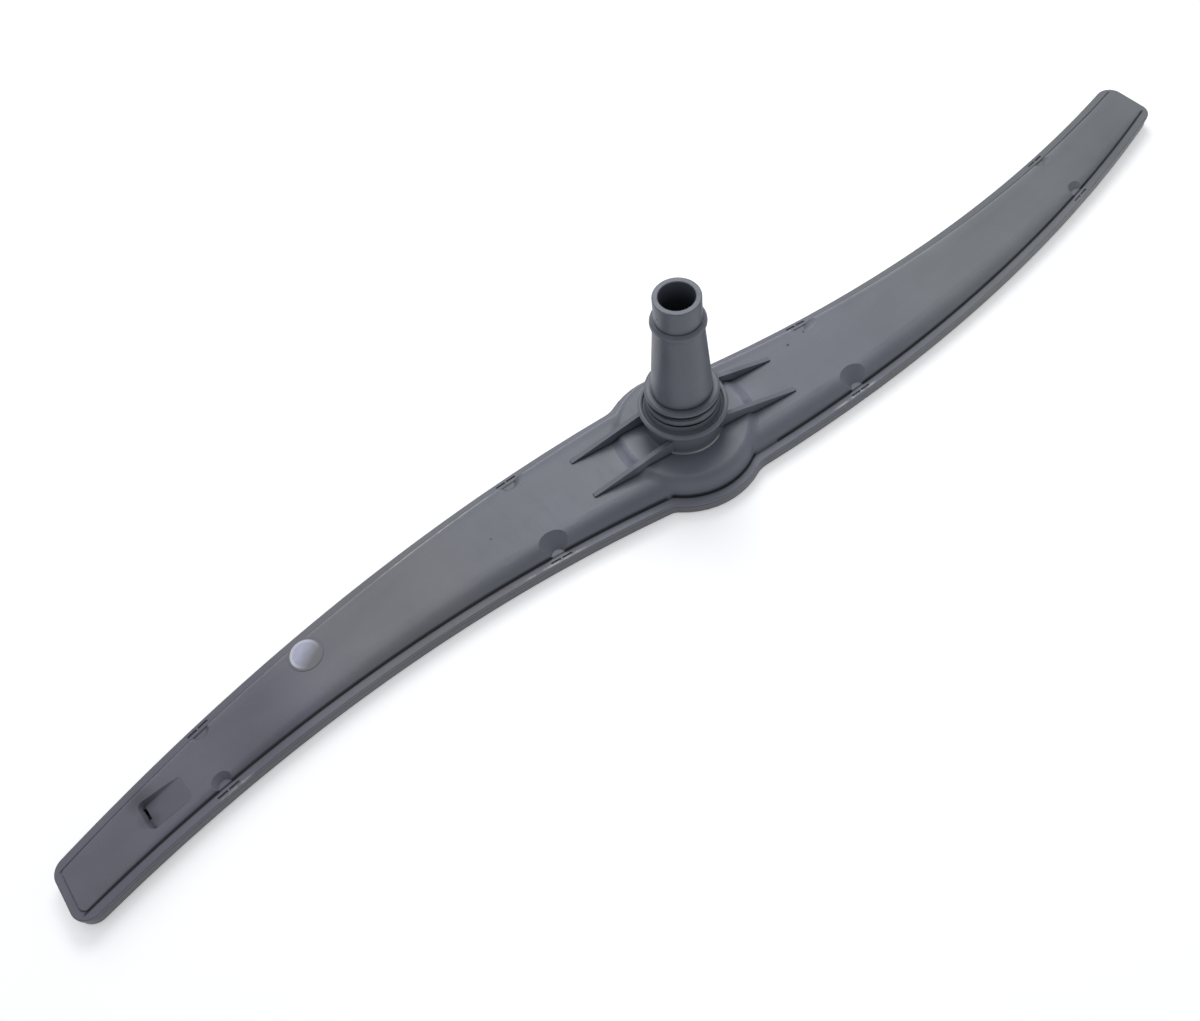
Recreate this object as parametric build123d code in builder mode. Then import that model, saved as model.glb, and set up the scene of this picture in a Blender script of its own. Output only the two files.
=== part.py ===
"""Lower spray arm of a dishwasher: two swept blades, a hub and the water tube that it spins on.

The arm lies on its spray face, as it does on a bench: +Z is the spin axis and points up the
water tube, X runs from blade tip to blade tip, and the origin is on the spin axis at the
surface that the arm rests on. All sizes are in millimetres.
"""

from build123d import *
from math import atan2, cos, degrees, radians, sin, sqrt, tan
import os

# Plan of the arm. The right blade is drawn, and the left one is its half turn.
reach = 240.5
tip_slant = 1.0
tip_corner = 5.5
swept_tip_y = -10.2
hollow_tip_y = 12.2
root_x = 20.0
hollow_root_y = 19.2
swept_radius = 633.0
hollow_radius = 526.0
blade_start = 4.0
hub_radius = 28.4
hub_bulge = 1.9
swept_blend = 9.0
hollow_blend = 5.0

# Camber: the hub is flat below, and the blades rise a little towards their tips.
camber = 1.7
camber_start = 65.0

# The two shells and the weld flange between them.
wall = 1.7
tray_height = 4.7
tray_land = 2.7
tray_edge = 1.4
tray_inset = 0.3
flange_thickness = 1.5
flange_width = 3.1
flange_edge = 0.45
seam_gap = 0.45
seam_depth = 0.6

# The raised body of the hub side.
body_root_z = 12.9
body_tip_step = 0.5
shoulder_width = 6.0
shoulder_share = 1.2
shoulder_bulge = 0.75
wall_lean = 0.15
tip_ease = 0.2
body_stations = (35.0, 70.0, 110.0, 150.0, 195.0)

# Hub dome.
dome_height = 14.2
dome_shoulder = 4.1
dome_lean = 0.7
body_blend = 3.5

# Neck with its dished rim.
neck_radius = 12.6
neck_foot_fillet = 1.0
neck_flare_z = 21.4
neck_top_z = 27.7
neck_top_radius = 12.1
rim_radius = 15.2
rim_top_z = 26.0
rim_thickness = 2.6
rim_lip = 0.9

# Four tapered ribs beside the neck.
rib_angle = -10.0
rib_offset = 8.0
rib_thickness = 1.6
rib_reach = 40.0
rib_height = 20.6
rib_tip_height = 0.5

# Conical scallops in the body's wall, as places along the blade, each with a pair of short
# slots beside it in the flange.
scallop_foot_radius = 2.2
scallop_taper = 37.5
scallop_floor = 0.1
swept_scallops = (57.6, 184.2)
hollow_scallops = (62.0, 186.5)
slot_length = 3.6
slot_width = 0.7
slot_depth = 0.5
slot_bridge = 0.6

# Sunk pocket with the drive jet, on the left blade.
pocket_start = 195.5
pocket_end = 209.5
pocket_y = 4.7
pocket_width = 8.6
pocket_depth = 2.2
pocket_draft = 1.3
pocket_corner = 1.0
drive_slit_y = 6.3
drive_slit_length = 4.2
drive_slit_width = 0.9

# Spray jets in the resting face, as places along each blade.
left_jets = (56.0, 92.0, 130.0, 168.0, 214.0)
right_jets = (72.0, 110.0, 148.0, 186.0, 224.0)
jet_dish_length = 11.0
jet_dish_width = 6.5
jet_dish_depth = 0.6
jet_slot_length = 6.0
jet_slot_width = 1.6
jet_turn = 55.0
hub_dish_radius = 15.0
hub_dish_depth = 0.6

# Water tube. Its journal runs in the neck, so the arm spins on it.
mouth_z = 77.2
mouth_radius = 7.55
mouth_edge = 0.35
mouth_bore_radius = 5.7
mouth_bore_length = 14.0
bead_radius = 9.3
bead_z = 66.6
bead_height = 3.0
cone_top_radius = 8.05
cone_foot_radius = 10.2
collar_radius = 12.4
collar_thickness = 2.0
collar_round = 0.85
tube_bore_radius = 8.6
journal_radius = 10.6
journal_clearance = 0.1
tube_end_z = 7.6

# Rings of the bearing.
spin_gap = 0.4
ring_height = 4.4
ring_radius = 12.2
ring_relief = 0.6
ring_edge = 0.5
loose_gap = 0.3
washer_thickness = 0.8
washer_radius = 14.6
clip_thickness = 1.2
clip_radius = 13.2
clip_groove_depth = 1.0
clip_play = 0.05
clip_mouth = 50.0

# Small round label.
label_radius = 5.8
label_thickness = 0.15
label_x = -145.0
label_y = 16.9

# Values that follow from the sizes above.
swept_root_y = hub_bulge - hub_radius
dome_foot_radius = hub_radius - flange_width
flange_z = tray_height + flange_thickness
body_tip_z = flange_z + camber + body_tip_step
body_slope = (body_tip_z - body_root_z) / reach
camber_run = reach - camber_start
camber_radius = (camber_run**2 + camber**2) / (2 * camber)
bore_radius = journal_radius + journal_clearance
ring_bore_radius = journal_radius + loose_gap
dome_inner_z = dome_height - wall
collar_z = neck_top_z + ring_height + spin_gap
collar_top_z = collar_z + collar_thickness
washer_z = dome_inner_z - loose_gap - washer_thickness
clip_z = washer_z - clip_thickness
groove_radius = journal_radius - clip_groove_depth
overcut = 1.0
room_base = tray_height - overcut
scallop_slope = tan(radians(scallop_taper))
scallop_wall = wall / cos(radians(scallop_taper))
scallop_room = scallop_foot_radius + scallop_wall - (flange_z - room_base) * scallop_slope


def rise(x):
    """How far the arm's base has risen at a place along the blades."""
    past = max(abs(x) - camber_start, 0.0)
    return camber_radius - sqrt(camber_radius**2 - past**2)


def arc_y(x, start, end, radius):
    """The y at x on the arc through two points that bulges towards -Y."""
    run = end[0] - start[0]
    climb = end[1] - start[1]
    chord = sqrt(run**2 + climb**2)
    depth = sqrt(radius**2 - (chord / 2) ** 2)
    centre_x = (start[0] + end[0]) / 2 - depth * climb / chord
    centre_y = (start[1] + end[1]) / 2 + depth * run / chord
    return centre_y - sqrt(radius**2 - (x - centre_x) ** 2)


swept_root = (root_x, swept_root_y)
swept_tip = (reach - tip_slant, swept_tip_y)
hollow_root = (root_x, hollow_root_y)
hollow_tip = (reach, hollow_tip_y)


def swept_y(x):
    """Outline of the right blade on its outward-bowed side."""
    return arc_y(x, swept_root, swept_tip, swept_radius)


def hollow_y(x):
    """Outline of the right blade on its inward-bowed side."""
    return arc_y(x, hollow_root, hollow_tip, hollow_radius)


def body_z(x):
    """Height of the body's flat top."""
    return body_root_z + body_slope * abs(x)


def arm_outline(inset):
    """Plan of the whole arm, drawn smaller by the inset."""
    start_swept = (blade_start, swept_y(blade_start))
    start_hollow = (blade_start, hollow_y(blade_start))
    middle = reach / 2
    with BuildSketch() as plan:
        with BuildLine():
            ThreePointArc(start_swept, (middle, swept_y(middle)), swept_tip)
            Line(swept_tip, hollow_tip)
            ThreePointArc(hollow_tip, (middle, hollow_y(middle)), start_hollow)
            Line(start_hollow, start_swept)
        make_face()
        add(plan.sketch.rotate(Axis.Z, 180))
        Circle(hub_radius)
        corners = plan.vertices().sort_by(Axis.X)
        tips = corners[:2] + corners[-2:]
        fillet(tips, radius=tip_corner)
        bends = plan.vertices().filter_by(lambda v: abs(v.X) < hub_radius)
        hollow_bends = bends.filter_by(lambda v: v.X * v.Y > 0)
        fillet(hollow_bends, radius=hollow_blend)
        bends = plan.vertices().filter_by(lambda v: abs(v.X) < hub_radius)
        swept_bends = bends.filter_by(lambda v: v.X * v.Y < 0).sort_by(Axis.X)
        fillet([swept_bends[0], swept_bends[-1]], radius=swept_blend)
        if inset > 0:
            offset(amount=-inset, mode=Mode.REPLACE)
    return plan.sketch


def bowed_band(low, high):
    """Side view of a layer of the arm that follows the camber."""
    end = reach + wall
    with BuildSketch(Plane.XZ) as band:
        with BuildLine():
            for z in (low, high):
                Line((0, z), (camber_start, z))
                TangentArc((camber_start, z), (end, z + rise(end)), tangent=(1, 0))
            Line((end, low + rise(end)), (end, high + rise(end)))
            Line((0, low), (0, high))
        make_face()
        mirror(about=Plane.YZ)
    return band.sketch


def layer(inset, low, high, facing=1, edge_round=0.0):
    """A plate of the arm's plan between two heights, bent to the camber."""
    with BuildPart() as plate:
        extrude(arm_outline(inset), amount=high + 2 * camber)
        extrude(bowed_band(low, high), amount=2 * hub_radius, both=True, mode=Mode.INTERSECT)
        if edge_round > 0:
            skin = plate.faces().filter_by(lambda f: f.normal_at().Z * facing > 0.9)
            fillet(skin.edges().filter_by(Axis.Y, reverse=True), radius=edge_round)
    return plate.part


def body_base(inset):
    """Height of the body's base: within the flange, or below it for the room inside."""
    return room_base if inset > 0 else tray_height + flange_thickness / 2


def body_section(x, inset):
    """Cross-section of the right blade's raised body, drawn smaller by the inset."""
    base = body_base(inset) + rise(x)
    foot = flange_z + rise(x) - inset
    top = body_z(x) - inset
    tall = top - foot
    low_y = swept_y(x) + flange_width + inset
    high_y = hollow_y(x) - flange_width - inset
    shoulder = min(shoulder_width, shoulder_share * tall + overcut)
    lean = wall_lean * tall
    bulge = foot + shoulder_bulge * tall
    with BuildSketch(Plane(origin=(x, 0, 0), x_dir=(0, 1, 0), z_dir=(1, 0, 0))) as face:
        with BuildLine():
            Line((low_y, base), (low_y, foot))
            Bezier(
                (low_y, foot),
                (low_y + lean, bulge),
                (low_y + shoulder / 2, top),
                (low_y + shoulder, top),
            )
            Line((low_y + shoulder, top), (high_y - shoulder, top))
            Bezier(
                (high_y - shoulder, top),
                (high_y - shoulder / 2, top),
                (high_y - lean, bulge),
                (high_y, foot),
            )
            Line((high_y, foot), (high_y, base))
            Line((high_y, base), (low_y, base))
        make_face()
    return face.sketch


def body_solid(inset):
    """Both blades' raised body with the hub dome, drawn smaller by the inset."""
    stations = (blade_start, *body_stations, reach)
    base = body_base(inset)
    foot = dome_foot_radius - inset
    foot_z = flange_z - inset
    crown = dome_height - inset
    bulge = foot_z + shoulder_bulge * (crown - foot_z)
    with BuildPart() as body:
        loft(sections=[body_section(x, inset) for x in stations])
        add(body.part.rotate(Axis.Z, 180))
        with BuildSketch(Plane.XZ):
            with BuildLine():
                Polyline((0, crown), (0, base), (foot, base), (foot, foot_z))
                Bezier(
                    (foot, foot_z),
                    (foot - dome_lean, bulge),
                    (foot - dome_shoulder / 2, crown),
                    (foot - dome_shoulder, crown),
                )
                Line((foot - dome_shoulder, crown), (0, crown))
            make_face()
        revolve(axis=Axis.Z)
        tip_plan = arm_outline(flange_width + inset - tip_ease)
        extrude(tip_plan, amount=dome_height, mode=Mode.INTERSECT)
    return body.part


def blade_points(places, edge):
    """Points on the foot line of the body's wall, on both blades."""
    points = []
    for x in places:
        y = edge(x)
        points += [(x, y), (-x, -y)]
    return points


def swept_foot(x):
    """Foot line of the body's wall on the outward-bowed side."""
    return swept_y(x) + flange_width


def hollow_foot(x):
    """Foot line of the body's wall on the inward-bowed side."""
    return hollow_y(x) - flange_width


scallop_points = blade_points(swept_scallops, swept_foot)
scallop_points += blade_points(hollow_scallops, hollow_foot)


def jet_places():
    """Centres of the spray jets, on the middle line of each blade."""
    places = []
    for x in right_jets:
        places.append((x, (swept_y(x) + hollow_y(x)) / 2))
    for x in left_jets:
        places.append((-x, -(swept_y(x) + hollow_y(x)) / 2))
    return places


def scallop_cones(radius, low):
    """Cones at the scallops that widen upwards, with their radius at a height above the base."""
    with BuildPart() as group:
        for x, y in scallop_points:
            with BuildSketch(Plane.XY.offset(low + rise(x))):
                with Locations((x, y)):
                    Circle(radius)
            extrude(amount=dome_height - low, taper=-scallop_taper)
    return group.part


def flange_slots(places, edge, side):
    """Pairs of short slots along the middle of the flange, on both blades."""
    half = (slot_length + slot_bridge) / 2
    with BuildPart() as group:
        for x in places:
            turn = degrees(atan2(edge(x + overcut) - edge(x - overcut), 2 * overcut))
            y = edge(x) + side * flange_width / 2
            with BuildSketch(Plane.XY.offset(flange_z - slot_depth + rise(x))) as pair:
                with Locations(Location((x, y), turn)):
                    with Locations((-half, 0), (half, 0)):
                        Rectangle(slot_length, slot_width)
                add(pair.sketch.rotate(Axis.Z, 180))
            extrude(amount=dome_height)
    return group.part


def jet_cutters(length, width, depth):
    """Slots at every spray jet, cut up into the floor to a depth."""
    with BuildPart() as group:
        for x, y in jet_places():
            turn = jet_turn if x > 0 else jet_turn + 180
            with BuildSketch(Plane.XY.offset(-overcut)):
                with Locations(Location((x, y), turn)):
                    SlotOverall(length, width)
            extrude(amount=overcut + rise(x) + depth)
    return group.part


def pocket_block(grow, floor_drop):
    """The drive pocket's ramped room on the left blade, drawn larger by the growth."""
    length = pocket_end - pocket_start
    middle = (pocket_start + pocket_end) / 2
    ramp = (body_z(pocket_start) - body_z(pocket_end) + pocket_depth) / length
    floor_z = body_z(middle) - pocket_depth / 2 - floor_drop
    floor = Plane(origin=(-middle, pocket_y, floor_z), z_dir=(-ramp, 0, 1))
    lid = Plane(origin=(-middle, pocket_y, body_z(middle) + overcut), z_dir=(body_slope, 0, 1))
    with BuildPart() as block:
        for plane, spread in ((floor, 0), (lid, pocket_draft)):
            with BuildSketch(plane):
                RectangleRounded(
                    length + 2 * (grow + spread),
                    pocket_width + 2 * (grow + spread),
                    pocket_corner + grow + spread,
                )
        loft()
    return block.part


def rib_planes():
    """Upright planes of the four ribs, each with its X away from the neck."""
    planes = []
    for angle in (rib_angle, rib_angle + 180):
        along = (cos(radians(angle)), sin(radians(angle)), 0)
        across = (along[1], -along[0], 0)
        for side in (1, -1):
            origin = [side * rib_offset * part for part in across]
            planes.append(Plane(origin=origin, x_dir=along, z_dir=across))
    return planes


# Room inside the hub side, with material left behind each scallop and the drive pocket.
with BuildPart() as cavity:
    add(body_solid(wall))
    add(scallop_cones(scallop_room, room_base), mode=Mode.SUBTRACT)
    add(pocket_block(wall, wall), mode=Mode.SUBTRACT)


# Hub side: flange, raised body, dome, neck and ribs, hollow inside.
with BuildPart() as hub_side_shell:
    add(layer(0, tray_height, flange_z, facing=1, edge_round=flange_edge))
    add(body_solid(0))
    upright = hub_side_shell.edges().filter_by(lambda e: e.bounding_box().size.Z > wall)
    creases = upright.filter_by(lambda e: wall < abs((e @ 0.5).Y) < dome_foot_radius)
    creases = creases.filter_by(lambda e: abs((e @ 0.5).X) < dome_foot_radius)
    fillet(creases, radius=body_blend)
    with BuildSketch(Plane.XZ):
        with BuildLine():
            Polyline(
                (0, neck_top_z),
                (0, dome_height - wall / 2),
                (neck_radius, dome_height - wall / 2),
                (neck_radius, neck_flare_z),
            )
            Bezier(
                (neck_radius, neck_flare_z),
                (neck_radius, rim_top_z - rim_thickness),
                (rim_radius, rim_top_z - rim_thickness),
                (rim_radius, rim_top_z - rim_lip),
            )
            ThreePointArc(
                (rim_radius, rim_top_z - rim_lip),
                (rim_radius - rim_lip, rim_top_z),
                (rim_radius - 2 * rim_lip, rim_top_z - rim_lip),
            )
            Bezier(
                (rim_radius - 2 * rim_lip, rim_top_z - rim_lip),
                (neck_top_radius, rim_top_z - rim_lip),
                (neck_top_radius, neck_top_z),
            )
            Line((neck_top_radius, neck_top_z), (0, neck_top_z))
        make_face()
    revolve(axis=Axis.Z)
    neck_foot = hub_side_shell.edges().filter_by(GeomType.CIRCLE).filter_by(
        lambda e: abs(e.radius - neck_radius) < journal_clearance
    )
    fillet(neck_foot.group_by(Axis.Z)[0], radius=neck_foot_fillet)
    for plane in rib_planes():
        with BuildSketch(plane):
            with BuildLine():
                Polyline(
                    (bore_radius * cos(radians(45)), rib_height),
                    (rib_reach, body_z(rib_reach) + rib_tip_height),
                    (rib_reach, body_z(rib_reach) - wall / 2),
                    (bore_radius * cos(radians(45)), body_z(rib_reach) - wall / 2),
                    close=True,
                )
            make_face()
        extrude(amount=rib_thickness / 2, both=True)
    add(cavity.part, mode=Mode.SUBTRACT)
    with BuildSketch(Plane.XY.offset(tray_height)):
        Circle(bore_radius)
    extrude(amount=neck_top_z, mode=Mode.SUBTRACT)
    add(scallop_cones(scallop_foot_radius, flange_z + scallop_floor), mode=Mode.SUBTRACT)
    add(flange_slots(swept_scallops, swept_y, 1), mode=Mode.SUBTRACT)
    add(flange_slots(hollow_scallops, hollow_y, -1), mode=Mode.SUBTRACT)
    add(pocket_block(0, 0), mode=Mode.SUBTRACT)
    with BuildSketch(Plane.XY.offset(tray_height)):
        with Locations((-pocket_end + drive_slit_width / 2, drive_slit_y)):
            Rectangle(drive_slit_width, drive_slit_length)
    extrude(amount=dome_height, mode=Mode.SUBTRACT)

# Nozzle side: a shallow tray with the spray jets in its floor.
with BuildPart() as nozzle_side_shell:
    add(layer(tray_inset, 0, tray_height - seam_gap, facing=-1, edge_round=tray_edge))
    add(layer(tray_inset + seam_depth, wall, tray_height))
    add(layer(tray_inset + tray_land, wall, tray_height + overcut), mode=Mode.SUBTRACT)
    with BuildSketch():
        Circle(hub_dish_radius)
    extrude(amount=hub_dish_depth, mode=Mode.SUBTRACT)
    add(jet_cutters(jet_dish_length, jet_dish_width, jet_dish_depth), mode=Mode.SUBTRACT)
    add(jet_cutters(jet_slot_length, jet_slot_width, tray_height), mode=Mode.SUBTRACT)

# Water tube: mouth, snap bead, cone, collar, and the journal down to the clip's groove.
with BuildPart() as feed_tube:
    with BuildSketch(Plane.XZ):
        with BuildLine():
            Polyline(
                (tube_bore_radius, tube_end_z),
                (tube_bore_radius, collar_z),
                (mouth_bore_radius, mouth_z - mouth_bore_length),
                (mouth_bore_radius, mouth_z),
                (mouth_radius, mouth_z),
                (mouth_radius, bead_z + bead_height / 2),
            )
            Bezier(
                (mouth_radius, bead_z + bead_height / 2),
                (bead_radius, bead_z + bead_height / 2),
                (bead_radius, bead_z - bead_height / 2),
                (cone_top_radius, bead_z - bead_height / 2),
            )
            Polyline(
                (cone_top_radius, bead_z - bead_height / 2),
                (cone_foot_radius, collar_top_z),
                (collar_radius, collar_top_z),
                (collar_radius, collar_z),
                (journal_radius, collar_z),
                (journal_radius, washer_z),
                (groove_radius, washer_z),
                (groove_radius, clip_z),
                (journal_radius, clip_z),
                (journal_radius, tube_end_z),
                (tube_bore_radius, tube_end_z),
            )
        make_face()
    revolve(axis=Axis.Z)
    rings = feed_tube.edges().filter_by(GeomType.CIRCLE)
    collar_edges = rings.filter_by(lambda e: abs(e.radius - collar_radius) < journal_clearance)
    fillet(collar_edges, radius=collar_round)
    rings = feed_tube.edges().filter_by(GeomType.CIRCLE)
    fillet(rings.group_by(Axis.Z)[-1], radius=mouth_edge)

# Thin ring between the neck's top and the tube's collar, relieved at its foot.
with BuildPart() as bearing_ring:
    with BuildSketch(Plane.XZ):
        with BuildLine():
            Polyline(
                (ring_bore_radius, neck_top_z),
                (ring_bore_radius, neck_top_z + ring_height),
                (ring_radius, neck_top_z + ring_height),
                (ring_radius, neck_top_z + ring_relief),
                (ring_radius - ring_relief, neck_top_z + ring_relief),
                (ring_radius - ring_relief, neck_top_z),
                (ring_bore_radius, neck_top_z),
            )
        make_face()
    revolve(axis=Axis.Z)
    rings = bearing_ring.edges().filter_by(GeomType.CIRCLE)
    outer = rings.filter_by(lambda e: abs(e.radius - ring_radius) < journal_clearance)
    fillet(outer, radius=ring_edge)

# Flat washer that the neck's inner end turns against.
with BuildPart() as wear_washer:
    with BuildSketch(Plane.XY.offset(washer_z)):
        Circle(washer_radius)
        Circle(ring_bore_radius, mode=Mode.SUBTRACT)
    extrude(amount=washer_thickness)

# Split ring in the journal's groove, which holds the washer and keeps the arm on its tube.
with BuildPart() as retaining_clip:
    with BuildSketch(Plane.XY.offset(clip_z + clip_play)):
        Circle(clip_radius)
        Circle(groove_radius + clip_play, mode=Mode.SUBTRACT)
        with BuildLine():
            far = 2 * clip_radius
            spread = radians(clip_mouth / 2)
            Polyline(
                (0, 0),
                (far * cos(spread), far * sin(spread)),
                (far * cos(spread), -far * sin(spread)),
                close=True,
            )
        make_face(mode=Mode.SUBTRACT)
    extrude(amount=clip_thickness - clip_play)

# Round label on the flat of the left blade.
label_plane = Plane(origin=(label_x, label_y, body_z(label_x)), z_dir=(body_slope, 0, 1))
with BuildPart() as label_disc:
    with BuildSketch(label_plane):
        Circle(label_radius)
    extrude(amount=label_thickness)

os.makedirs("parts", exist_ok=True)
pieces = {
    "hub_side_shell": hub_side_shell,
    "nozzle_side_shell": nozzle_side_shell,
    "feed_tube": feed_tube,
    "bearing_ring": bearing_ring,
    "wear_washer": wear_washer,
    "retaining_clip": retaining_clip,
    "label_disc": label_disc,
}
for name, piece in pieces.items():
    piece.part.label = name
    export_step(piece.part, f"parts/{name}.step")
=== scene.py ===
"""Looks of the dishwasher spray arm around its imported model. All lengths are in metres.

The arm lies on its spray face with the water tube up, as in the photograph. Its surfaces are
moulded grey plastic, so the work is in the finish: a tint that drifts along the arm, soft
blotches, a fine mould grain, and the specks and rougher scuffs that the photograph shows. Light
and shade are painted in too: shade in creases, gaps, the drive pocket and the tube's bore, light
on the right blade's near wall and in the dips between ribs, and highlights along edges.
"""

from math import cos, hypot, radians, sin, sqrt

import bpy
from mathutils import Matrix, Vector


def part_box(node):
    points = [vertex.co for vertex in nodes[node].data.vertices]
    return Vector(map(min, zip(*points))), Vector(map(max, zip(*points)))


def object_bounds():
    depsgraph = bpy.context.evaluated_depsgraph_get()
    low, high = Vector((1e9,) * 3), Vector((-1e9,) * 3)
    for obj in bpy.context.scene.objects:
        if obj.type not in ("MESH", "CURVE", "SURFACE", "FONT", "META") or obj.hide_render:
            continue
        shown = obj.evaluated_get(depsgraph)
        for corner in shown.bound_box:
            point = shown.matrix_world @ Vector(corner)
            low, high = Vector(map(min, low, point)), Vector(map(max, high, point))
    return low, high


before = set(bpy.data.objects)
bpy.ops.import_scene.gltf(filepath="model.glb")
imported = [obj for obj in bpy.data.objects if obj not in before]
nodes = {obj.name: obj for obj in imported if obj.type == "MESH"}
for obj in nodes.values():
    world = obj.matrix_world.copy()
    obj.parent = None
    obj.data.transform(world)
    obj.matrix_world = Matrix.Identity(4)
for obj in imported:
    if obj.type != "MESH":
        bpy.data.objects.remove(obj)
cad_low, cad_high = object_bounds()


# Colours, as sRGB values from 0 to 255.
ARM_LILAC = (108, 108, 118)
ARM_WARM = (113, 113, 117)
ARM_BLUE = (109, 112, 121)
ARM_NEUTRAL = (116, 119, 122)
TRAY_GREY = (107, 108, 112)
TRAY_WARM = (112, 111, 110)
TUBE_GREY = (104, 108, 117)
RING_GREY = (102, 107, 116)
# Pale colour of the painted highlights along the edges and round the neck's foot.
HIGHLIGHT_PALE = (196, 194, 188)
WASHER_WHITE = (222, 222, 216)
CLIP_STEEL = (168, 170, 172)
LABEL_SILVER = (186, 186, 206)
LABEL_RIM = (206, 208, 216)
LABEL_CLEAR = (118, 119, 121)
FLOOR_WHITE = (236, 236, 236)
FILL_COLOUR = (232, 236, 245)
LAMP_WHITE = (255, 255, 255)
FULL_WHITE = (1.0, 1.0, 1.0, 1.0)


def linear(colour):
    """An sRGB colour of three values up to 255, as the linear RGBA that a node takes."""
    parts = []
    for value in colour:
        share = value / 255
        parts.append(share / 12.92 if share <= 0.04045 else ((share + 0.055) / 1.055) ** 2.4)
    return (*parts, 1.0)


def tinted(colour, factor):
    """A colour made lighter or darker by a factor."""
    return tuple(value * factor for value in colour)


class Shader:
    """A material's node tree, built with short calls."""

    def __init__(self, name):
        self.material = bpy.data.materials.new(name)
        self.material.use_nodes = True
        self.tree = self.material.node_tree
        self.surface = self.tree.nodes["Principled BSDF"]
        self.place = self.add("ShaderNodeTexCoord").outputs["Object"]

    def put(self, socket, value):
        """Connects another node's output to a socket, or sets the socket's own value."""
        if isinstance(value, bpy.types.NodeSocket):
            self.tree.links.new(value, socket)
        else:
            socket.default_value = value

    def add(self, kind, inputs=None, **settings):
        """Adds a node. An input is a number, a colour or another node's output."""
        made = self.tree.nodes.new(kind)
        for key, value in settings.items():
            setattr(made, key, value)
        for key, value in (inputs or {}).items():
            self.put(made.inputs[key], value)
        return made

    def join(self, name, value):
        """Gives one of the surface's own sockets an output or a number."""
        self.put(self.surface.inputs[name], value)

    def noise(self, scale, detail=2.0, roughness=0.5, stretch=(1, 1, 1)):
        """Noise of a scale per metre, from 0 to 1."""
        mapped = self.add("ShaderNodeMapping", {"Vector": self.place, "Scale": stretch})
        inputs = {
            "Vector": mapped.outputs["Vector"],
            "Scale": scale,
            "Detail": detail,
            "Roughness": roughness,
        }
        return self.add("ShaderNodeTexNoise", inputs).outputs["Fac"]

    def spread(self, value, low, high, new_low=0.0, new_high=1.0):
        """Maps a value's range onto another, and clamps it."""
        inputs = {
            "Value": value,
            "From Min": low,
            "From Max": high,
            "To Min": new_low,
            "To Max": new_high,
        }
        return self.add("ShaderNodeMapRange", inputs).outputs["Result"]

    def factor(self, share, change):
        """A factor that goes from 1 to a change as a share goes from 0 to 1."""
        return self.spread(share, 0.0, 1.0, 1.0, change)

    def mix(self, share, first, second, blend="MIX"):
        """Mixes two colours."""
        made = self.add("ShaderNodeMix", data_type="RGBA", blend_type=blend)
        for key, value in ((0, share), (6, first), (7, second)):
            self.put(made.inputs[key], value)
        return made.outputs[2]

    def axis(self, name):
        """One coordinate of the surface's place, in metres."""
        return self.add("ShaderNodeSeparateXYZ", {"Vector": self.place}).outputs[name]

    def ramp(self, value, stops):
        """A smooth run of colours over a value from 0 to 1, from places and colours."""
        made = self.add("ShaderNodeValToRGB", {"Fac": value})
        made.color_ramp.interpolation = "EASE"
        elements = made.color_ramp.elements
        while len(elements) < len(stops):
            elements.new(0.5)
        for element, (place, colour) in zip(elements, stops):
            element.position = place
            element.color = linear(colour)
        return made.outputs["Color"]

    def crease(self, reach, dark):
        """A factor of painted shade that falls to a darker value in creases narrower than a reach.
        """
        settings = {"samples": CREASE_SAMPLES}
        open_share = self.add("ShaderNodeAmbientOcclusion", {"Distance": reach}, **settings)
        return self.spread(open_share.outputs["AO"], *CREASE_OPENNESS, dark, 1.0)

    def maths(self, operation, first, second):
        """One step of arithmetic."""
        made = self.add("ShaderNodeMath", {0: first, 1: second}, operation=operation)
        return made.outputs["Value"]

    def times(self, first, second):
        """A product."""
        return self.maths("MULTIPLY", first, second)

    def minus(self, first, second):
        """A difference."""
        return self.maths("SUBTRACT", first, second)

    def size_of(self, value):
        """A value without its sign."""
        return self.maths("ABSOLUTE", value, 0.0)

    def near_value(self, value, middle, half_width):
        """1 where a value is at its middle, falling to 0 at half the width away."""
        away = self.size_of(self.minus(value, middle))
        return self.spread(away, LINE_CORE * half_width, half_width, 1.0, 0.0)

    def between(self, value, low, high, soft):
        """1 where a value lies between two others, with soft ends."""
        above = self.spread(value, low - soft, low)
        below = self.spread(value, high, high + soft, 1.0, 0.0)
        return self.times(above, below)

    def away_from_axis(self, centre):
        """Distance from an upright axis through a point, in metres."""
        inputs = {0: self.place, 1: (1, 1, 0)}
        flat = self.add("ShaderNodeVectorMath", inputs, operation="MULTIPLY").outputs["Vector"]
        inputs = {0: flat, 1: (centre[0], centre[1], 0.0)}
        return self.add("ShaderNodeVectorMath", inputs, operation="DISTANCE").outputs["Value"]

    def spot(self, centre, radius, soft):
        """A round mark at a point, 1 inside and 0 outside, with a soft edge."""
        inputs = {0: self.place, 1: centre}
        away = self.add("ShaderNodeVectorMath", inputs, operation="DISTANCE").outputs["Value"]
        return self.spread(away, radius, radius + soft, 1.0, 0.0)

    def bump(self, height, strength, distance, below=None):
        """Bumps the surface by a height, over another bump if one is given."""
        inputs = {"Height": height, "Strength": strength, "Distance": distance}
        if below is not None:
            inputs["Normal"] = below
        return self.add("ShaderNodeBump", inputs).outputs["Normal"]


# Middle share of a line that has its full strength, and the samples of the painted shade in
# creases and the openness between which it fades.
LINE_CORE = 0.35
CREASE_SAMPLES = 8
CREASE_OPENNESS = (0.50, 0.80)

# Noises, as scales per metre.
BLOTCH_SCALE = 24.0
STREAK_SCALE = 60.0
WAVE_SCALE = 70.0
SCUFF_SCALE = 420.0
GRAIN_SCALE = 2600.0

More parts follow.
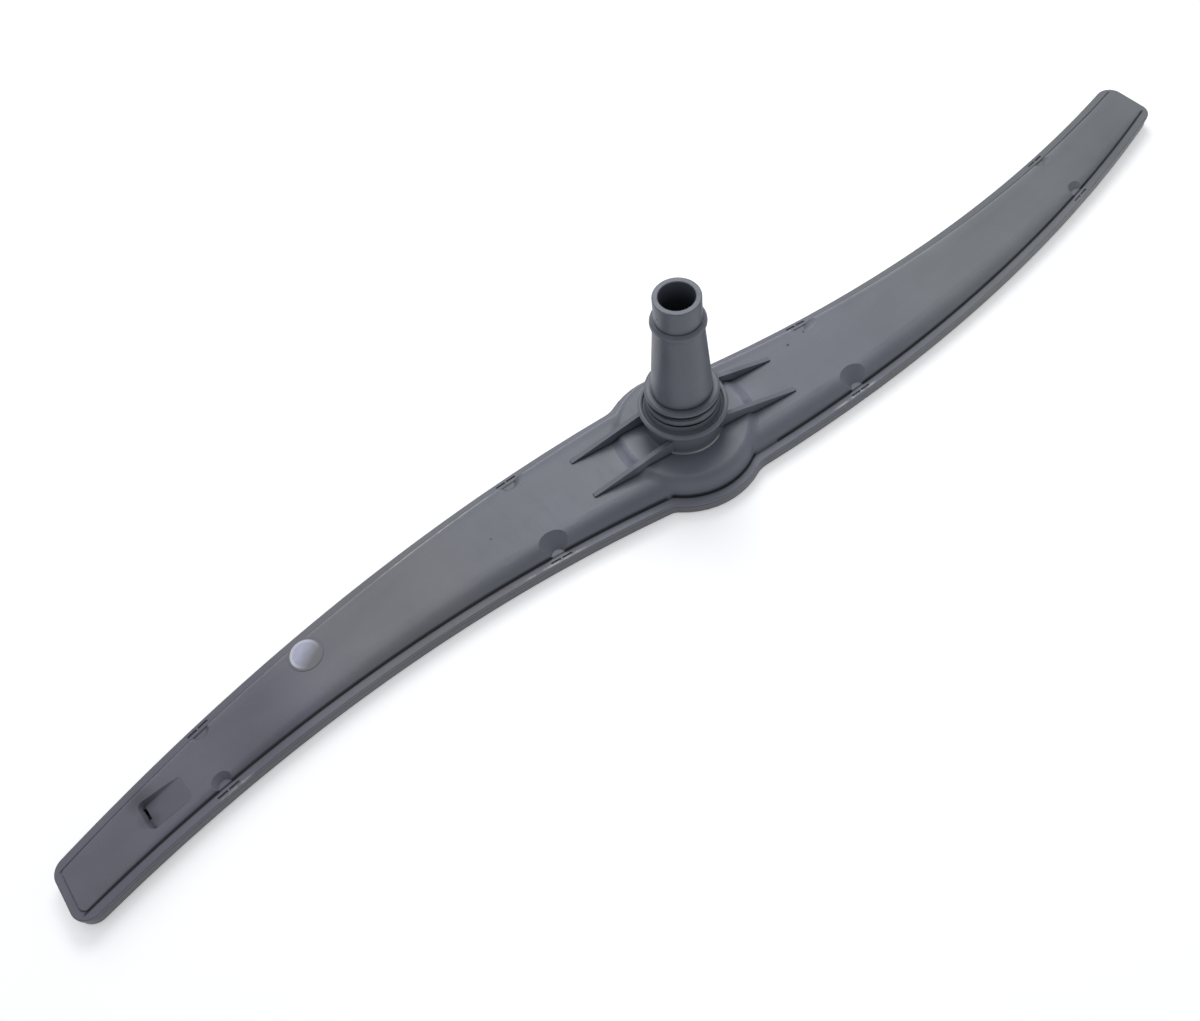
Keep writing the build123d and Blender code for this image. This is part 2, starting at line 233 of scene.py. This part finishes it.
# Finish of the moulded plastic: how far each noise or mark changes its colour and gloss.
BLOTCH_TONES = (0.90, 1.08)
STREAK_TONES = (1.02, 0.93)
GRAIN_TONES = (0.96, 1.04)
BLOTCH_ROUGHER = 0.08
SCUFF_ROUGHER = 0.10
WAVE_BUMP = (0.25, 0.0006)
GRAIN_BUMP = (0.35, 0.00005)
PLASTIC_IOR = 1.49
SPECK_DARK = 0.22
# Painted shade in creases: its reach, its darkest factor, and the light the flange keeps.
CREASE_REACH = 0.0016
CREASE_DARK = 0.24
FLANGE_OPEN = 0.85

# Tint along the arm, from the left tip to the right one, as shares of its length.
ARM_TINT = (
    (0.00, ARM_LILAC),
    (0.15, ARM_LILAC),
    (0.25, ARM_WARM),
    (0.40, ARM_BLUE),
    (0.60, ARM_BLUE),
    (0.76, ARM_NEUTRAL),
)
TRAY_TINT = ((0.0, TRAY_GREY), (0.55, TRAY_GREY), (0.72, TRAY_WARM))
TUBE_TINT = ((0.0, TUBE_GREY), (1.0, TUBE_GREY))
RING_TINT = ((0.0, RING_GREY), (1.0, RING_GREY))

# Dark specks on the blades and the tube, as places and radii.
SPECKS = (
    ((-0.0385, 0.0232, 0.0122), 0.00045),
    ((0.0502, 0.0011, 0.0120), 0.00045),
    ((0.0584, 0.0017, 0.0118), 0.00030),
    ((0.0616, 0.0043, 0.0118), 0.00050),
    ((-0.0762, 0.0097, 0.0115), 0.00030),
    ((-0.0075, 0.0006, 0.0722), 0.00045),
    ((-0.0073, -0.0004, 0.0713), 0.00030),
)

# Patches where the surface is a little lighter or darker, as places, radii and factors: tone of
# the moulding on the blades' tops, painted light on the right blade's near wall, painted shade in
# the drive pocket, and painted light in the dips between ribs.
TONE_AND_LIGHT_PATCHES = (
    ((-0.137, 0.006, 0.010), 0.022, 1.20),
    ((-0.168, 0.008, 0.010), 0.016, 0.91),
    ((-0.206, 0.006, 0.009), 0.012, 0.94),
    ((-0.098, 0.004, 0.011), 0.016, 1.05),
    ((0.140, -0.012, 0.010), 0.018, 0.95),
    ((0.100, -0.010, 0.011), 0.016, 1.06),
    # Painted light on the right blade's near wall.
    ((0.150, -0.026, 0.007), 0.022, 1.10),
    ((0.190, -0.019, 0.007), 0.022, 1.08),
    # Painted shade in the drive pocket.
    ((-0.2084, 0.0108, 0.0080), 0.0045, 0.62),
    ((-0.2093, 0.0038, 0.0080), 0.0032, 0.62),
    # Painted light in the dips between the ribs.
    ((-0.0220, 0.0028, 0.0125), 0.0070, 1.20),
    ((0.0245, -0.0054, 0.0124), 0.0070, 1.14),
)

# The right blade's two edges as arcs: root, tip, radius, and the side of the arc that the blade
# lies on. The left blade has the same arcs, turned by half a turn.
SWEPT_EDGE = ((0.0200, -0.0265), (0.2395, -0.0102), 0.633, -1)
HOLLOW_EDGE = ((0.0200, 0.0192), (0.2405, 0.0122), 0.526, 1)
EDGES = (SWEPT_EDGE, HOLLOW_EDGE)
RIGHT, LEFT = 1, -1
BLADE_SPAN = (0.0220, 0.2368)
BLADE_SOFT = 0.001

# Camber: where it starts, and its radius.
CAMBER_START = 0.065
CAMBER_RADIUS = 9.06

# Painted shade in the seam between the two shells.
SEAM_HEIGHT = 0.00465
SEAM_HALF_WIDTH = 0.0007
SEAM_DARK = 0.40

# Painted shade at the foot of the body's wall.
FLANGE_WIDTH = 0.0031
DOME_FOOT_RADIUS = 0.0253
FOOT_HALF_WIDTH = 0.00055
FOOT_HEIGHTS = (0.0070, 0.0080)
FOOT_DARK = 0.22

# Outer part of the flange, where the painted shade in creases is mostly lifted, so the slots stay
# open to the light.
FLANGE_MIDDLE = 0.0008
FLANGE_REACH = 0.0022
FLANGE_HEIGHTS = (0.00505, 0.00545)

# Painted shade in the tube's bore, and painted light in the dips between the ribs.
BORE_REACH = 0.0066
BORE_SOFT = 0.0003
BORE_DEPTHS = (0.0004, 0.0080)
BORE_DARK = 0.40
DIP_RADIUS = 0.0232
DIP_REACH = 0.0028
DIP_SIDE = 0.0065
DIP_HEIGHTS = (0.0112, 0.0117)
DIP_LIGHT = 1.22

# Painted highlights along the blades' shoulders and flange edges: edge, blade, the span where
# they run, the inset from the edge, the strength.
PAINTED_EDGE_HIGHLIGHTS = (
    (SWEPT_EDGE, LEFT, (0.0685, 0.1080), 0.0045, 0.95),
    (SWEPT_EDGE, LEFT, (0.1130, 0.1420), 0.0034, 0.35),
    (HOLLOW_EDGE, LEFT, (0.0567, 0.0727), 0.0009, 0.55),
    (HOLLOW_EDGE, LEFT, (0.1815, 0.1870), 0.0005, 0.45),
    (SWEPT_EDGE, RIGHT, (0.0480, 0.0640), 0.0010, 0.60),
    (HOLLOW_EDGE, RIGHT, (0.0700, 0.1400), 0.0042, 0.20),
)
EDGE_HIGHLIGHT_HALF_WIDTH = 0.0005
EDGE_HIGHLIGHT_SOFT = 0.004

# The body's wall, which the painted highlights leave out.
WALL_HEIGHTS = (0.0068, 0.0086)
WALL_SOFT = 0.0004

# Painted highlight in the fillet round the neck's foot.
NECK_LINE_RADIUS = 0.0132
NECK_LINE_HALF_WIDTH = 0.00032
NECK_LINE_SPAN = (0.0139, 0.0151)
NECK_LINE_SOFT = 0.0003
NECK_NEAR_SIDE = (-0.009, -0.003)

# Painted shade in the gaps at the ring's top and foot, as the distances where it fades, and how
# uneven it is.
RING_TOP_GAP = (0.0011, 0.0016)
RING_TOP_DARK = 0.10
RING_FOOT_GAP = (0.0012, 0.0017)
RING_FOOT_DARK = 0.12
RING_UNEVEN = 0.0007

SPIN_AXIS = (0.0, 0.0)


def arc_centre(start, end, radius):
    """Centre of the arc through two points that bulges towards -Y."""
    run = end[0] - start[0]
    climb = end[1] - start[1]
    chord = hypot(run, climb)
    depth = sqrt(radius**2 - (chord / 2) ** 2)
    middle_x = (start[0] + end[0]) / 2
    middle_y = (start[1] + end[1]) / 2
    return (middle_x - depth * climb / chord, middle_y + depth * run / chord)


def edge_line(s, edge, blade, inset, half_width):
    """1 along the line at an inset from one of a blade's edges."""
    root, tip, radius, inner_side = edge
    centre = arc_centre(root, tip, radius)
    away = s.away_from_axis((blade * centre[0], blade * centre[1]))
    return s.near_value(away, radius + inner_side * inset, half_width)


def all_edge_lines(s, inset, half_width):
    """1 along the lines at an inset from both edges of both blades."""
    along = s.axis("X")
    total = 0.0
    for blade in (RIGHT, LEFT):
        on_blade = s.between(s.times(along, float(blade)), *BLADE_SPAN, BLADE_SOFT)
        for edge in EDGES:
            line = edge_line(s, edge, blade, inset, half_width)
            total = s.maths("MAXIMUM", total, s.times(line, on_blade))
    return total


def height_on_arm(s):
    """Height above the resting face, measured along the camber."""
    past = s.minus(s.size_of(s.axis("X")), CAMBER_START)
    past = s.maths("MAXIMUM", past, 0.0)
    rise = s.maths("DIVIDE", s.times(past, past), 2 * CAMBER_RADIUS)
    return s.minus(s.axis("Z"), rise)


def painted_edge_highlights(s):
    """Share of painted highlight along the blades' edges."""
    along = s.axis("X")
    broken = s.spread(s.noise(260.0, 3.0, 0.6), 0.36, 0.52)
    total = 0.0
    for edge, blade, span, inset, strength in PAINTED_EDGE_HIGHLIGHTS:
        line = edge_line(s, edge, blade, inset, EDGE_HIGHLIGHT_HALF_WIDTH)
        on_blade = s.times(along, float(blade))
        line = s.times(line, s.between(on_blade, *span, EDGE_HIGHLIGHT_SOFT))
        total = s.maths("ADD", s.times(line, strength), total)
    on_wall = s.between(height_on_arm(s), *WALL_HEIGHTS, WALL_SOFT)
    broken = s.times(broken, s.minus(1.0, on_wall))
    return s.times(total, broken)


def neck_highlight(s):
    """Share of painted highlight in the fillet round the neck's foot, on its near side."""
    line = s.near_value(s.away_from_axis(SPIN_AXIS), NECK_LINE_RADIUS, NECK_LINE_HALF_WIDTH)
    line = s.times(line, s.between(s.axis("Z"), *NECK_LINE_SPAN, NECK_LINE_SOFT))
    broken = s.spread(s.noise(120.0, 1.0, 0.5), 0.40, 0.56)
    near_side = s.spread(s.axis("Y"), *NECK_NEAR_SIDE, 1.0, 0.0)
    return s.times(line, s.times(near_side, broken))


def seam_shade(s):
    """Factor of painted shade that darkens the seam between the two shells."""
    line = s.near_value(height_on_arm(s), SEAM_HEIGHT, SEAM_HALF_WIDTH)
    return s.factor(line, SEAM_DARK)


def foot_shade(s):
    """Factor of painted shade at the foot of the body's wall, all round the blades and the hub."""
    round_dome = s.near_value(s.away_from_axis(SPIN_AXIS), DOME_FOOT_RADIUS, FOOT_HALF_WIDTH)
    total = s.maths("MAXIMUM", round_dome, all_edge_lines(s, FLANGE_WIDTH, FOOT_HALF_WIDTH))
    low = s.spread(height_on_arm(s), *FOOT_HEIGHTS, 1.0, 0.0)
    return s.factor(s.times(total, low), FOOT_DARK)


def dip_shade(s):
    """Painted light in the dips between the ribs, where the blades meet the hub's dome: a factor.
    """
    band = s.near_value(s.away_from_axis(SPIN_AXIS), DIP_RADIUS, DIP_REACH)
    band = s.times(band, s.between(s.axis("Y"), -DIP_SIDE, DIP_SIDE, BLADE_SOFT))
    band = s.times(band, s.spread(s.axis("Z"), *DIP_HEIGHTS))
    return s.factor(band, DIP_LIGHT)


def bore_shade(s):
    """Factor of painted shade that darkens the tube's bore below its mouth."""
    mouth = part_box("feed_tube")[1].z
    away = s.away_from_axis(SPIN_AXIS)
    inside = s.spread(away, BORE_REACH, BORE_REACH + BORE_SOFT, 1.0, 0.0)
    deep = s.spread(s.minus(mouth, s.axis("Z")), *BORE_DEPTHS)
    return s.factor(s.times(inside, deep), BORE_DARK)


def ring_gap_shade(s):
    """Factor of painted shade on the bearing ring at its two gaps, uneven round the ring."""
    low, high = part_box("bearing_ring")
    height = s.axis("Z")
    uneven = s.times(s.spread(s.noise(150.0, 2.0, 0.5), 0.3, 0.7), RING_UNEVEN)
    top = s.maths("ADD", s.minus(high.z, height), uneven)
    foot = s.maths("ADD", s.minus(height, low.z), uneven)
    at_top = s.spread(top, *RING_TOP_GAP, RING_TOP_DARK, 1.0)
    at_foot = s.spread(foot, *RING_FOOT_GAP, RING_FOOT_DARK, 1.0)
    return s.times(at_top, at_foot)


def on_flange(s):
    """1 on the outer part of the flange along the blades."""
    total = all_edge_lines(s, FLANGE_MIDDLE, FLANGE_REACH)
    return s.times(total, s.spread(height_on_arm(s), *FLANGE_HEIGHTS))


def moulded_plastic(name, tint, gloss=0.42, painted_highlights=(), shades=(), open_faces=None):
    """Moulded polypropylene: drifting tint, soft blotches, flow lines, grain and painted crease
    shade.

    Painted highlights are pale, shades are factors of painted light and shade, and open faces keep
    most of their light in creases, where shade is painted.
    """
    s = Shader(name)
    base = s.ramp(s.spread(s.axis("X"), cad_low.x, cad_high.x), tint)
    blotches = s.noise(BLOTCH_SCALE, 3.0, 0.55)
    streaks = s.noise(STREAK_SCALE, 2.0, 0.5, stretch=(0.35, 1.6, 1.0))
    grain = s.noise(GRAIN_SCALE, 2.0, 0.6)
    factor = s.spread(blotches, 0.30, 0.70, *BLOTCH_TONES)
    factor = s.times(factor, s.spread(streaks, 0.40, 0.75, *STREAK_TONES))
    factor = s.times(factor, s.spread(grain, 0.3, 0.7, *GRAIN_TONES))
    # Tone patches, and patches of painted light and shade.
    for centre, radius, change in TONE_AND_LIGHT_PATCHES:
        share = s.spot(centre, 0.2 * radius, radius)
        factor = s.times(factor, s.factor(share, change))
    for centre, radius in SPECKS:
        share = s.spot(centre, 0.6 * radius, radius)
        factor = s.times(factor, s.factor(share, SPECK_DARK))
    # Painted shade in creases, mostly lifted on the flange's outer part.
    creases = s.crease(CREASE_REACH, CREASE_DARK)
    if open_faces is not None:
        creases = s.maths("MAXIMUM", creases, s.times(open_faces(s), FLANGE_OPEN))
    factor = s.times(factor, creases)
    for shade in shades:
        factor = s.times(factor, shade(s))
    tone = s.mix(1.0, base, factor, blend="MULTIPLY")
    # Painted highlights, mixed in as a pale colour.
    for mark in painted_highlights:
        tone = s.mix(mark(s), tone, linear(HIGHLIGHT_PALE))
    s.join("Base Color", tone)
    scuffs = s.noise(SCUFF_SCALE, 4.0, 0.65, stretch=(1.0, 0.25, 1.0))
    rough = s.spread(blotches, 0.3, 0.7, gloss, gloss + BLOTCH_ROUGHER)
    rough = s.maths("ADD", rough, s.spread(scuffs, 0.5, 0.8, 0.0, SCUFF_ROUGHER))
    s.join("Roughness", rough)
    normal = s.bump(s.noise(WAVE_SCALE, 1.0, 0.4), *WAVE_BUMP)
    s.join("Normal", s.bump(grain, *GRAIN_BUMP, below=normal))
    s.join("IOR", PLASTIC_IOR)
    s.join("Specular IOR Level", 0.5)
    return s.material


def washer_plastic(name):
    """Smooth white washer with a faintly turned face."""
    s = Shader(name)
    tone = s.mix(s.noise(180.0), linear(tinted(WASHER_WHITE, 0.95)), linear(WASHER_WHITE))
    s.join("Base Color", tone)
    s.join("Roughness", s.spread(s.noise(300.0), 0.3, 0.7, 0.28, 0.4))
    s.join("Normal", s.bump(s.noise(900.0), 0.2, 0.00004))
    return s.material


def spring_steel(name):
    """Brushed spring steel of the retaining clip."""
    s = Shader(name)
    brushed = s.noise(500.0, 3.0, 0.6, stretch=(1.0, 1.0, 12.0))
    s.join("Base Color", s.mix(brushed, linear(tinted(CLIP_STEEL, 0.88)), linear(CLIP_STEEL)))
    s.join("Roughness", s.spread(brushed, 0.3, 0.7, 0.25, 0.45))
    s.join("Normal", s.bump(brushed, 0.2, 0.00005))
    s.join("Metallic", 1.0)
    return s.material


# The label's film, in shares of its radius: the way in which it turns clear, where that fade
# starts and ends, its brighter rim, and its outermost band, which has the arm's colour.
LABEL_CLEAR_WAY = (0.45, -0.89, 0.0)
LABEL_FADE = (-0.35, 0.55)
LABEL_RIM_PLACE = 0.80
LABEL_RIM_REACH = 0.12
LABEL_RIM_SHARE = 0.8
LABEL_EDGE = (0.86, 0.89)


def label_film(name):
    """Silvery film label: a brighter rim, clearer towards its near right side and its edge."""
    s = Shader(name)
    low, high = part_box("label_disc")
    centre = (low + high) / 2
    radius = (high.x - low.x) / 2
    inputs = {0: s.place, 1: centre}
    offset = s.add("ShaderNodeVectorMath", inputs, operation="SUBTRACT").outputs["Vector"]
    inputs = {0: offset, 1: LABEL_CLEAR_WAY}
    across = s.add("ShaderNodeVectorMath", inputs, operation="DOT_PRODUCT").outputs["Value"]
    silver = s.spread(across, LABEL_FADE[0] * radius, LABEL_FADE[1] * radius, 1.0, 0.0)
    wrinkles = s.noise(700.0, 2.0, 0.5)
    silvers = (linear(tinted(LABEL_SILVER, 0.96)), linear(LABEL_SILVER))
    face = s.mix(s.spread(wrinkles, 0.3, 0.7), *silvers)
    away = s.away_from_axis(centre)
    rim = s.near_value(away, LABEL_RIM_PLACE * radius, LABEL_RIM_REACH * radius)
    face = s.mix(s.times(rim, LABEL_RIM_SHARE), face, linear(LABEL_RIM))
    film = s.mix(silver, linear(LABEL_CLEAR), face)
    at_edge = s.spread(away, LABEL_EDGE[0] * radius, LABEL_EDGE[1] * radius)
    s.join("Base Color", s.mix(at_edge, film, linear(tinted(ARM_WARM, 1.03))))
    s.join("Roughness", s.spread(wrinkles, 0.3, 0.7, 0.28, 0.40))
    s.join("Normal", s.bump(wrinkles, 0.15, 0.00004))
    s.join("Metallic", 0.15)
    return s.material


def dress(node, material):
    """Gives a carried-over piece its finish."""
    piece = nodes[node]
    piece.data.materials.clear()
    piece.data.materials.append(material)


hub_side = moulded_plastic(
    "hub_side_plastic",
    ARM_TINT,
    painted_highlights=(painted_edge_highlights, neck_highlight),
    shades=(seam_shade, foot_shade, dip_shade),
    open_faces=on_flange,
)
dress("hub_side_shell", hub_side)
dress("nozzle_side_shell", moulded_plastic("nozzle_side_plastic", TRAY_TINT, shades=(seam_shade,)))
dress("feed_tube", moulded_plastic("tube_plastic", TUBE_TINT, gloss=0.38, shades=(bore_shade,)))
dress("bearing_ring", moulded_plastic("ring_plastic", RING_TINT, shades=(ring_gap_shade,)))
dress("wear_washer", washer_plastic("washer_plastic"))
dress("retaining_clip", spring_steel("spring_steel"))
dress("label_disc", label_film("label_film"))


# Floor: white to the camera, and still darkened by the arm's shadow. It glows more further out.
FLOOR_SIZE = 6.0
FLOOR_GLOW = 0.40
FLOOR_FADE = (0.40, 1.20)


def make_floor():
    """A plain pale floor at the arm's resting face."""
    half = FLOOR_SIZE / 2
    mesh = bpy.data.meshes.new("floor")
    corners = [(-half, -half, 0), (half, -half, 0), (half, half, 0), (-half, half, 0)]
    mesh.from_pydata(corners, [], [(0, 1, 2, 3)])
    floor = bpy.data.objects.new("floor", mesh)
    bpy.context.scene.collection.objects.link(floor)
    s = Shader("floor_paper")
    tone = s.mix(s.noise(3.0), linear(FLOOR_WHITE), linear(tinted(FLOOR_WHITE, 1.02)))
    s.join("Base Color", tone)
    s.join("Roughness", 0.9)
    s.join("Specular IOR Level", 0.1)
    path = s.add("ShaderNodeLightPath")
    seen = s.maths("MAXIMUM", path.outputs["Is Camera Ray"], path.outputs["Is Glossy Ray"])
    glow = s.spread(s.away_from_axis(SPIN_AXIS), *FLOOR_FADE, FLOOR_GLOW, 1.0)
    s.join("Emission Color", FULL_WHITE)
    s.join("Emission Strength", s.times(seen, glow))
    mesh.materials.append(s.material)


make_floor()


# The world is white behind the arm, and gives a plain grey fill.
FILL_STRENGTH = 0.43


def make_world():
    """White where the camera looks, and a soft fill elsewhere."""
    world = bpy.data.worlds.new("studio")
    bpy.context.scene.world = world
    world.use_nodes = True
    tree = world.node_tree
    tree.nodes.clear()
    output = tree.nodes.new("ShaderNodeOutputWorld")
    mix = tree.nodes.new("ShaderNodeMixShader")
    fill = tree.nodes.new("ShaderNodeBackground")
    fill.inputs["Color"].default_value = linear(FILL_COLOUR)
    fill.inputs["Strength"].default_value = FILL_STRENGTH
    white = tree.nodes.new("ShaderNodeBackground")
    white.inputs["Color"].default_value = FULL_WHITE
    path = tree.nodes.new("ShaderNodeLightPath")
    tree.links.new(path.outputs["Is Camera Ray"], mix.inputs["Fac"])
    tree.links.new(fill.outputs["Background"], mix.inputs[1])
    tree.links.new(white.outputs["Background"], mix.inputs[2])
    tree.links.new(mix.outputs["Shader"], output.inputs["Surface"])


make_world()


def soft_light(name, place, aim, size, power):
    """A square area lamp at a place, turned to its aim."""
    data = bpy.data.lights.new(name, "AREA")
    data.shape = "SQUARE"
    data.size = size
    data.energy = power
    data.color = linear(LAMP_WHITE)[:3]
    lamp = bpy.data.objects.new(name, data)
    bpy.context.scene.collection.objects.link(lamp)
    direction = Vector(aim) - Vector(place)
    lamp.location = place
    lamp.visible_camera = False
    lamp.rotation_euler = direction.to_track_quat("-Z", "Y").to_euler()


# One lamp stands behind the arm and one hangs above it. A small one, close above the right blade,
# makes the light fall off towards the left tip.
soft_light("back_light", (0.16, 1.06, 0.90), (0.0, 0.0, 0.0), 0.8, 3.2)
soft_light("top_light", (0.0, 0.0, 1.40), (0.0, 0.0, 0.0), 0.8, 2.1)
soft_light("blade_light", (0.20, 0.25, 0.55), (0.08, 0.0, 0.0), 0.3, 1.5)


# Camera, placed by matching the photograph's outline and the tube's circles.
IMAGE_WIDTH = 1200
FOCAL_PIXELS = 1177.7
SENSOR_WIDTH = 36.0
LOOK_AZIMUTH = radians(-31.164)
LOOK_DOWN = radians(57.532)
ROLL = radians(9.995)
CAMERA_PLACE = Vector((-0.1507, -0.1848, 0.3393))


def make_camera():
    """The photograph's viewpoint: seen from the near left, from above, a little rolled."""
    ahead = Vector((
        -sin(LOOK_AZIMUTH) * cos(LOOK_DOWN),
        cos(LOOK_AZIMUTH) * cos(LOOK_DOWN),
        -sin(LOOK_DOWN),
    ))
    level = Vector((cos(LOOK_AZIMUTH), sin(LOOK_AZIMUTH), 0.0))
    down = ahead.cross(level)
    right = cos(ROLL) * level + sin(ROLL) * down
    up = sin(ROLL) * level - cos(ROLL) * down
    data = bpy.data.cameras.new("camera")
    data.sensor_width = SENSOR_WIDTH
    data.lens = FOCAL_PIXELS * SENSOR_WIDTH / IMAGE_WIDTH
    data.clip_start = 0.01
    data.clip_end = 20.0
    camera = bpy.data.objects.new("camera", data)
    bpy.context.scene.collection.objects.link(camera)
    turn = Matrix((right, up, -ahead)).transposed()
    camera.matrix_world = Matrix.Translation(CAMERA_PLACE) @ turn.to_4x4()
    bpy.context.scene.camera = camera


make_camera()
bpy.context.scene.view_settings.view_transform = "Standard"
